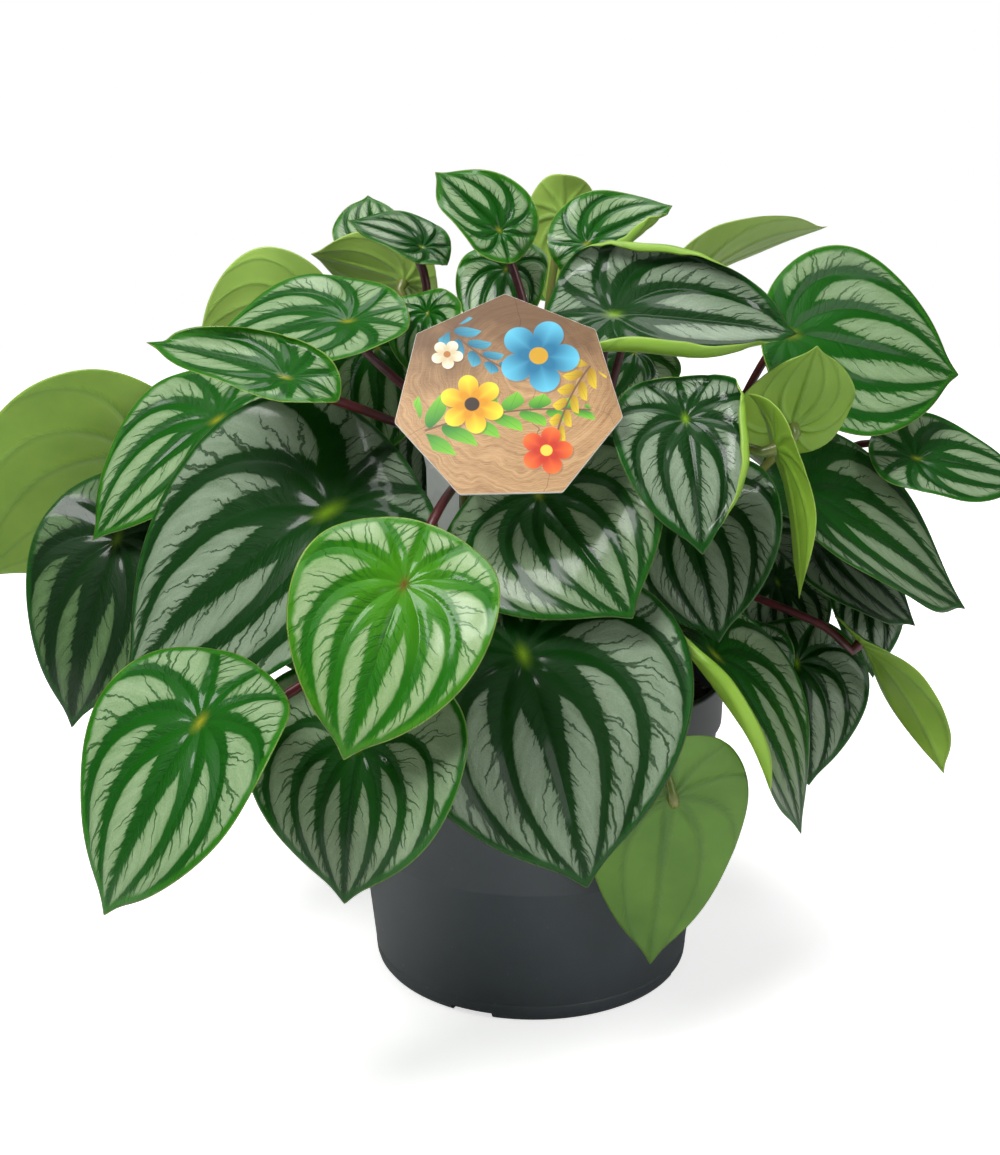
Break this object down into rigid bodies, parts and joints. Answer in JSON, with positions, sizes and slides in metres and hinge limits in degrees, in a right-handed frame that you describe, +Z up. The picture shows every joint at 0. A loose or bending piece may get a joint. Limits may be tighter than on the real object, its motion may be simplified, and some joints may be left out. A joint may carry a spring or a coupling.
{
  "type": "potted peperomia",
  "caption": "Bushy potted peperomia with shield-shaped, silver-striped leaves on red stalks, in a round plastic nursery pot with a heptagonal picture card on a stake.",
  "frame": {"origin": "centre of the pot's base, in the plane it stands on", "axes": "+Z up out of the pot, -Y towards the side with the label, +X to the right seen from that side"},
  "size_m": [0.329, 0.258, 0.2441],
  "materials": {
    "leaf_mature": "gloss",
    "leaf_young": "gloss",
    "crown_stem": "satin",
    "pot_plastic": "satin",
    "potting_soil": "matte",
    "label_print": "satin",
    "stake_plastic": "gloss"
  },
  "bodies": {
    "root": {"crown_front": "crown_stem", "crown_left": "crown_stem", "crown_right": "crown_stem", "label_card": "label_print", "label_stake": "stake_plastic", "leaf_back_left_pale": "leaf_young", "leaf_back_pale": "leaf_young", "leaf_behind_card": "leaf_mature", "leaf_by_card": "leaf_mature", "leaf_far_left": "leaf_young", "leaf_far_right": "leaf_mature", "leaf_front_left_big": "leaf_mature", "leaf_front_low": "leaf_mature", "leaf_front_pale": "leaf_young", "leaf_front_right_dark": "leaf_mature", "leaf_front_right_tall": "leaf_mature", "leaf_front_rolled": "leaf_mature", "leaf_front_young": "leaf_young", "leaf_inner_left": "leaf_mature", "leaf_inner_right": "leaf_mature", "leaf_left": "leaf_mature", "leaf_left_dark": "leaf_mature", "leaf_left_folded": "leaf_mature", "leaf_long_boat": "leaf_mature", "leaf_low_left": "leaf_mature", "leaf_low_middle": "leaf_mature", "leaf_lower_right": "leaf_mature", "leaf_rear_low_1": "leaf_mature", "leaf_rear_low_2": "leaf_mature", "leaf_rear_low_3": "leaf_mature", "leaf_rear_low_4": "leaf_mature", "leaf_rear_low_5": "leaf_mature", "leaf_rear_low_6": "leaf_mature", "leaf_rear_middle_1": "leaf_mature", "leaf_rear_middle_2": "leaf_mature", "leaf_rear_middle_3": "leaf_mature", "leaf_rear_middle_4": "leaf_mature", "leaf_rear_middle_5": "leaf_mature", "leaf_rear_top_1": "leaf_mature", "leaf_rear_top_2": "leaf_mature", "leaf_right": "leaf_mature", "leaf_right_big": "leaf_mature", "leaf_right_edge_on": "leaf_mature", "leaf_right_narrow": "leaf_young", "leaf_right_twisted": "leaf_young", "leaf_right_upright": "leaf_young", "leaf_shade_left": "leaf_mature", "leaf_shade_low_right": "leaf_mature", "leaf_shade_right": "leaf_mature", "leaf_top_cup": "leaf_mature", "leaf_top_left_dark": "leaf_mature", "leaf_top_left_small": "leaf_mature", "leaf_top_right": "leaf_mature", "leaf_top_upright": "leaf_young", "leaf_under_card": "leaf_mature", "leaf_under_front_right": "leaf_mature", "leaf_under_right": "leaf_mature", "leaf_upper_left": "leaf_mature", "pot": "pot_plastic", "soil": "potting_soil"}
  },
  "joints": []
}
